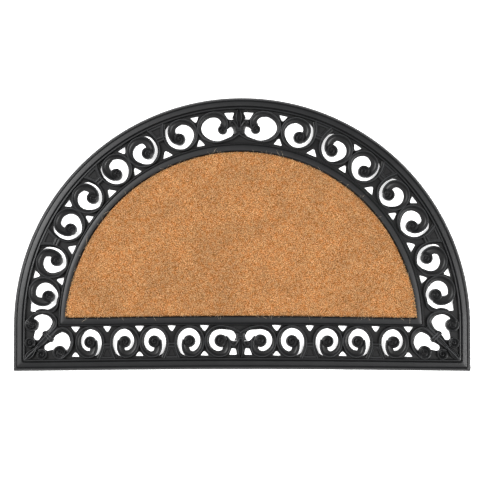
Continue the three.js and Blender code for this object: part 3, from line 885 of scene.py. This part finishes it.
def corner_motif(side):
    """Two loops that share a diagonal stem, with a collar, two curls and a leaf in the corner."""
    place = to_corner(side, False)
    parts.append(bar(CORNER_STEM, place, CORNER_STEM_STEPS, stem_section))
    parts.append(bar(CORNER_LEAF, place, CORNER_LEAF_STEPS, leaf_section))
    parts.append(bar(CORNER_SPINE, place, CORNER_SPINE_STEPS, dome_section, SPINE_LIFT))
    for flip in (False, True):
        way = to_corner(side, flip)
        cut_through(ribbon(CORNER_NECK_HOLE, way, NECK_HOLE_STEPS))
        cut_through(ribbon(CORNER_LOBE_HOLE, way, LOBE_HOLE_STEPS))
        parts.append(bar(CORNER_LOOP, way, LOOP_STEPS))
        parts.append(bar(CORNER_RIB, way, CORNER_LEAF_STEPS, dome_section, RIB_LIFT))
        for centre, start, spin, sides, rings in CORNER_SNAILS:
            parts.append(snail(centre, way, math.radians(start), spin, sides, rings))
    for x in CORNER_BEAD_PLACES:
        rows = [(x + across, x - across, half) for across, half in CORNER_BEAD]
        parts.append(bar(rows, place, CORNER_BEAD_STEPS, dome_section, SPINE_LIFT))


def combine(base, others, operation):
    """Cuts solids from a base or joins them to it, and removes them."""
    group = bpy.data.collections.new("others")
    bpy.context.scene.collection.children.link(group)
    for other in others:
        group.objects.link(other)
    step = base.modifiers.new("combine", "BOOLEAN")
    step.operand_type = "COLLECTION"
    step.collection = group
    step.operation = operation
    step.solver = "MANIFOLD"
    graph = bpy.context.evaluated_depsgraph_get()
    made = bpy.data.meshes.new_from_object(base.evaluated_get(graph))
    base.modifiers.clear()
    base.data = made
    for other in list(others):
        data = other.data
        bpy.data.objects.remove(other)
        bpy.data.meshes.remove(data)
    bpy.data.collections.remove(group)


def rubber_moulding():
    """The whole moulding: a plate with its openings cut through, and every raised shape joined to it."""
    for side in (-1, 1):
        half_band(side, ROW_JUNCTIONS, "row", to_row)
        half_band(side, ARC_JUNCTIONS, "arc", to_arc)
        corner_motif(side)
    centre_motif("row", to_row)
    centre_motif("arc", to_arc)
    made = prism(outline(RIM_INNER / 2, PLATE_CORNER), 0, PLATE_TOP)
    combine(made, cuts, "DIFFERENCE")
    parts.append(sweep(RIM_SECTION, outline, *RIM_CORNERS))
    parts.append(sweep(BORDER_SECTION, inner_outline, *BORDER_CORNERS))
    combine(made, parts, "UNION")
    made.name = made.data.name = "rubber_moulding"
    made.data.polygons.foreach_set("use_smooth", [True] * len(made.data.polygons))
    made.data.set_sharp_from_angle(angle=math.radians(SHARP_ANGLE))
    return made


def inside(x, y, inset):
    """Which points lie inside the inner outline at an inset, a little wider towards its two corners."""
    flare = np.clip(FLARE_START - (y - FRONT_Y - inset) / FLARE_LENGTH, 0, 1)
    radius = RADIUS - INNER_TIGHT - inset + CORNER_FLARE * flare
    share = np.minimum(1, np.abs(x - INNER_SHIFT) / radius)
    low = FRONT_Y + inset + FRONT_BOW * (1 - share * share) ** BOW_POWER
    return (np.hypot(x - INNER_SHIFT, y - ARC_Y) < radius) & (y > low)


def coir_base():
    """The dense foot of the pile: a closed slab with a rough top, kept mostly dark by the coir material's
    painted shade by height.
    """
    rng = np.random.default_rng(BASE_SEED)
    rows = [(PAD_EDGE + depth, z) for depth, z in BASE_SIDE]
    rows += [(PAD_EDGE + BASE_FIRST + BASE_STEP * k, COIR_TOP) for k in range(BASE_RINGS)]
    rings = []
    for inset, z in rows:
        ring = []
        for x, y in inner_outline(inset, BASE_CORNER, BASE_ARC_STEPS, BASE_FRONT_STEPS):
            rough = rng.uniform(-BASE_ROUGH, BASE_ROUGH) if z > BASE_ROUGH_FROM else 0
            ring.append((x, y, z + rough))
        rings.append(ring)
    made = loft(rings)
    made.name = made.data.name = "coir_base"
    return made


def fibre_mesh(name, roots, tips, width, taper, rng):
    """Three-sided fibres from roots to tips, all in one mesh."""
    n = len(roots)
    axis = tips - roots
    axis /= np.linalg.norm(axis, axis=1)[:, None]
    side = np.cross(axis, ACROSS)
    side /= np.linalg.norm(side, axis=1)[:, None]
    other = np.cross(axis, side)
    turn = rng.uniform(0, 2 * math.pi, n)
    verts = np.empty((n, 6, 3))
    for k in range(3):
        angle = turn + 2 * math.pi * k / 3
        out = (np.cos(angle)[:, None] * side + np.sin(angle)[:, None] * other) * width[:, None]
        verts[:, k] = roots + out
        verts[:, 3 + k] = tips + out * taper
    corners = np.array([0, 1, 4, 3, 1, 2, 5, 4, 2, 0, 3, 5, 3, 4, 5])
    loops = (np.arange(n)[:, None] * 6 + corners[None, :]).ravel()
    sizes = np.tile([4, 4, 4, 3], n)
    starts = np.concatenate([[0], np.cumsum(sizes)[:-1]])
    mesh = bpy.data.meshes.new(name)
    mesh.vertices.add(n * 6)
    mesh.vertices.foreach_set("co", (verts * MM).ravel())
    mesh.loops.add(len(loops))
    mesh.loops.foreach_set("vertex_index", loops.astype(np.int32))
    mesh.polygons.add(len(sizes))
    mesh.polygons.foreach_set("loop_start", starts.astype(np.int32))
    mesh.update(calc_edges=True)
    made = bpy.data.objects.new(name, mesh)
    bpy.context.scene.collection.objects.link(made)
    return made


def pits(rng):
    """Where the pile is lower in small spots, on a grid of half millimetres."""
    low = np.zeros(PIT_GRID)
    xs = rng.uniform(PIT_MARGIN, PIT_GRID[1] - PIT_MARGIN, PITS)
    ys = rng.uniform(PIT_MARGIN, PIT_GRID[0] - PIT_MARGIN, PITS)
    for x, y, size in zip(xs, ys, rng.uniform(*PIT_RADIUS, PITS)):
        i, j = int(y), int(x)
        near = np.s_[i - PIT_REACH:i + PIT_REACH + 1, j - PIT_REACH:j + PIT_REACH + 1]
        rows, columns = np.ogrid[near]
        spot = np.clip(PIT_FULL - np.hypot(rows - y, columns - x) / size, 0, 1)
        low[near] = np.maximum(low[near], spot)
    return low


def pile():
    """The cut pile: upright fibres on a jittered grid, in strips from left to right."""
    rng = np.random.default_rng(PILE_SEED)
    gx, gy = (a.ravel() for a in np.meshgrid(*(np.arange(-half, half, PITCH) for half in FIELD)))
    gx = gx + rng.uniform(-JITTER, JITTER, gx.size) * PITCH
    gy = gy + rng.uniform(-JITTER, JITTER, gy.size) * PITCH
    keep = inside(gx, gy, PAD_EDGE + PILE_INSET)
    gx, gy = gx[keep], gy[keep]
    n = gx.size
    (xx, xy), (yx, yy) = LEAN_WAVES
    lean_x = LEAN_WAVE * np.sin(gx / xx + 2 * np.sin(gy / xy)) + rng.normal(0, LEAN_SPREAD, n)
    lean_y = LEAN_WAVE * np.cos(gy / yy + 2 * np.sin(gx / yx)) + rng.normal(0, LEAN_SPREAD, n)
    edge = ~inside(gx, gy, PAD_EDGE + PILE_INSET + EDGE_WIDTH)
    lean_x, lean_y = (np.where(edge, EDGE_LEAN * lean, lean) for lean in (lean_x, lean_y))
    half_x, half_y = PIT_FIELD
    spots = pits(rng)[((gy + half_y) * 2).astype(int), ((gx + half_x) * 2).astype(int)]
    top = PILE_TOP + rng.normal(0, TOP_SPREAD, n) - np.where(edge, EDGE_LOWER, 0) - PIT_DEPTH * spots
    roots = np.stack([gx, gy, np.full(n, PILE_FOOT)], 1)
    tips = np.stack([gx + lean_x, gy + lean_y, top], 1)
    width = rng.uniform(*FIBRE_HALF, n)
    made = []
    for k, chosen in enumerate(np.array_split(np.argsort(gx), PILE_PIECES)):
        name = f"coir_pile_{k + 1}"
        made.append(fibre_mesh(name, roots[chosen], tips[chosen], width[chosen], FIBRE_TAPER, rng))
    return made


def stray_fibres():
    """Loose fibres that stick out over the edge of the pile, each of two straight lengths."""
    rng = np.random.default_rng(STRAY_SEED)
    edge = inner_outline(PAD_EDGE + PILE_INSET, *STRAY_EDGE)
    at_start, at_bend, at_end = STRAY_HEIGHTS
    starts, middles, ends = [], [], []
    for k in rng.choice(len(edge), STRAYS, replace=False):
        x, y = edge[k]
        nx, ny = edge[k - 1][1] - y, x - edge[k - 1][0]
        size = math.hypot(nx, ny) or 1.0
        nx, ny = -nx / size, -ny / size
        along = rng.normal(0, STRAY_ALONG)
        far = rng.uniform(*(STRAY_SHORT if rng.random() < STRAY_SHORT_SHARE else STRAY_LONG))
        x, y = x - nx * STRAY_START, y - ny * STRAY_START
        dx, dy = nx - ny * along, ny + nx * along
        starts.append((x, y, rng.uniform(*at_start)))
        bend_x, bend_y = x + dx * far * STRAY_BEND_AT, y + dy * far * STRAY_BEND_AT
        middles.append((bend_x, bend_y, rng.uniform(*at_bend)))
        turn_x, turn_y = rng.normal(0, STRAY_BEND, 2)
        whole = far + STRAY_START
        ends.append((x + (dx + turn_x) * whole, y + (dy + turn_y) * whole, rng.uniform(*at_end)))
    roots, tips = np.array(starts + middles), np.array(middles + ends)
    return fibre_mesh("coir_strays", roots, tips, np.full(2 * STRAYS, STRAY_HALF), STRAY_TAPER, rng)


def ramp(nodes, links, value, stops):
    """A value turned to colours."""
    node = nodes.new("ShaderNodeValToRGB")
    elements = node.color_ramp.elements
    while len(elements) < len(stops):
        elements.new(0.5)
    for element, (position, colour) in zip(elements, stops):
        element.position = position
        element.color = (*colour, 1)
    links.new(value, node.inputs["Fac"])
    return node.outputs["Color"]


def noise(nodes, links, coords, scale, detail, roughness):
    """Noise at so many lumps a metre."""
    node = nodes.new("ShaderNodeTexNoise")
    node.inputs["Scale"].default_value = scale
    node.inputs["Detail"].default_value = detail
    node.inputs["Roughness"].default_value = roughness
    links.new(coords, node.inputs["Vector"])
    return node.outputs["Fac"]


def height_share(nodes, links, coords, low, high):
    """How far a point's height is from a low to a high one, from 0 to 1."""
    place = nodes.new("ShaderNodeSeparateXYZ")
    links.new(coords, place.inputs[0])
    node = nodes.new("ShaderNodeMapRange")
    node.inputs["From Min"].default_value = low
    node.inputs["From Max"].default_value = high
    links.new(place.outputs["Z"], node.inputs["Value"])
    return node.outputs["Result"]


def mix_colour(nodes, links, how, factor, a, b):
    """Two colours mixed. Each of the three values is a number, a colour or another node's output."""
    node = nodes.new("ShaderNodeMix")
    node.data_type = "RGBA"
    node.blend_type = how
    for value, socket in ((factor, node.inputs[0]), (a, node.inputs[6]), (b, node.inputs[7])):
        if isinstance(value, bpy.types.NodeSocket):
            links.new(value, socket)
        else:
            socket.default_value = value if isinstance(value, float) else (*value, 1)
    return node.outputs[2]


def material(name):
    """A new material, with its nodes, links, shader and object coordinates."""
    made = bpy.data.materials.new(name)
    made.use_nodes = True
    tree = made.node_tree
    shader = tree.nodes["Principled BSDF"]
    coords = tree.nodes.new("ShaderNodeTexCoord").outputs["Object"]
    return made, tree.nodes, tree.links, shader, coords


def rubber_material():
    """Moulded rubber: painted shade in its hollows and a painted highlight on its ridges, with clouds and a
    fine grain.
    """
    made, nodes, links, shader, coords = material("moulded_rubber")
    # Painted shade in the hollows and a painted highlight on the ridges, both set by height
    shade_and_highlight = ramp(nodes, links, height_share(nodes, links, coords, *RUBBER_HEIGHTS), RUBBER_SHADE_HIGHLIGHT_TONES)
    cloud = ramp(nodes, links, noise(nodes, links, coords, *CLOUD_NOISE), RUBBER_CLOUD)
    links.new(mix_colour(nodes, links, "MULTIPLY", 1.0, shade_and_highlight, cloud), shader.inputs["Base Color"])
    rough = nodes.new("ShaderNodeMapRange")
    rough.inputs["To Min"].default_value, rough.inputs["To Max"].default_value = RUBBER_ROUGH
    links.new(noise(nodes, links, coords, *GLOSS_NOISE), rough.inputs["Value"])
    links.new(rough.outputs["Result"], shader.inputs["Roughness"])
    bump = nodes.new("ShaderNodeBump")
    bump.inputs["Strength"].default_value = GRAIN_STRENGTH
    bump.inputs["Distance"].default_value = GRAIN_DEPTH
    links.new(noise(nodes, links, coords, *GRAIN_NOISE), bump.inputs["Height"])
    links.new(bump.outputs["Normal"], shader.inputs["Normal"])
    shader.inputs["Specular IOR Level"].default_value = 0.3
    return made


def stray_material():
    """Pale loose fibres."""
    made, nodes, links, shader, coords = material("loose_fibre")
    tint = ramp(nodes, links, noise(nodes, links, coords, *STRAY_NOISE), STRAY_TINT)
    links.new(tint, shader.inputs["Base Color"])
    shader.inputs["Roughness"].default_value = 0.7
    return made


def coir_material():
    """Coir: each fibre a tint of its own, redder spots, wide patches, and painted shade between the fibres,
    darker towards the pile's foot.
    """
    made, nodes, links, shader, coords = material("coir_fibre")
    tint = ramp(nodes, links, noise(nodes, links, coords, *FIBRE_NOISE), COIR_TINT)
    warm = ramp(nodes, links, noise(nodes, links, coords, *WARM_NOISE), COIR_WARM)
    wide = ramp(nodes, links, noise(nodes, links, coords, *WIDE_NOISE), COIR_WIDE)
    colour = mix_colour(nodes, links, "MULTIPLY", 1.0, tint, warm)
    colour = mix_colour(nodes, links, "MULTIPLY", 1.0, colour, wide)
    # Painted shade: the pile darkens to the deep colour towards its foot
    share = height_share(nodes, links, coords, *COIR_HEIGHTS)
    links.new(mix_colour(nodes, links, "MIX", share, COIR_DEEP_SHADE, colour), shader.inputs["Base Color"])
    shader.inputs["Roughness"].default_value = 0.85
    shader.inputs["Specular IOR Level"].default_value = 0.2
    return made


rubber = rubber_moulding()
base = coir_base()
strips = pile()
strays = stray_fibres()

rubber_look = rubber_material()
coir_look = coir_material()
looks = [(rubber, rubber_look), (strays, stray_material()), *((p, coir_look) for p in (base, *strips))]
for piece, look in looks:
    piece.data.materials.clear()
    piece.data.materials.append(look)
    piece.data.polygons.foreach_set("material_index", [0] * len(piece.data.polygons))

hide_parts("rubber_tray")
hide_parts("coir_pad")
for piece in (rubber, base, strays, *strips):
    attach(piece, "root")


def floor():
    """A plain pale floor, just under the mat."""
    half = FLOOR_HALF
    mesh = bpy.data.meshes.new("floor")
    corners = [(-half, -half, 0), (half, -half, 0), (half, half, 0), (-half, half, 0)]
    mesh.from_pydata(corners, [], [(0, 1, 2, 3)])
    made = bpy.data.objects.new("floor", mesh)
    bpy.context.scene.collection.objects.link(made)
    made.location.z = -FLOOR_DROP
    look, nodes, links, shader, coords = material("pale_floor")
    tone = ramp(nodes, links, noise(nodes, links, coords, *FLOOR_NOISE), FLOOR_TONES)
    links.new(tone, shader.inputs["Base Color"])
    links.new(tone, shader.inputs["Emission Color"])
    shader.inputs["Emission Strength"].default_value = 0.75
    shader.inputs["Roughness"].default_value = 0.9
    shader.inputs["Specular IOR Level"].default_value = 0.1
    mesh.materials.append(look)


def area_light(name, at, aim, power):
    """A soft light that faces its aim."""
    data = bpy.data.lights.new(name, "AREA")
    data.shape = "RECTANGLE"
    data.size, data.size_y = LIGHT_SIZE
    data.energy = power
    made = bpy.data.objects.new(name, data)
    made.location = at
    made.rotation_mode = "QUATERNION"
    made.rotation_quaternion = (Vector(aim) - Vector(at)).to_track_quat("-Z", "Y")
    bpy.context.scene.collection.objects.link(made)


floor()
for light in LIGHTS:
    area_light(*light)
world = bpy.data.worlds.new("studio")
bpy.context.scene.world = world
world.use_nodes = True
background = world.node_tree.nodes["Background"]
background.inputs["Color"].default_value = (1, 1, 1, 1)
background.inputs["Strength"].default_value = WORLD_STRENGTH

camera_data = bpy.data.cameras.new("camera")
camera_data.sensor_width = CAMERA_SENSOR
camera_data.lens = CAMERA_LENS
camera = bpy.data.objects.new("camera", camera_data)
bpy.context.scene.collection.objects.link(camera)
rise = math.radians(CAMERA_RISE)
back = Vector((0, -math.cos(rise), math.sin(rise)))
camera.location = CAMERA_AIM + back * CAMERA_AWAY
camera.rotation_mode = "QUATERNION"
camera.rotation_quaternion = (-back).to_track_quat("-Z", "Y")
bpy.context.scene.camera = camera

bpy.context.scene.view_settings.view_transform = "Standard"
bpy.context.scene.view_settings.look = "None"
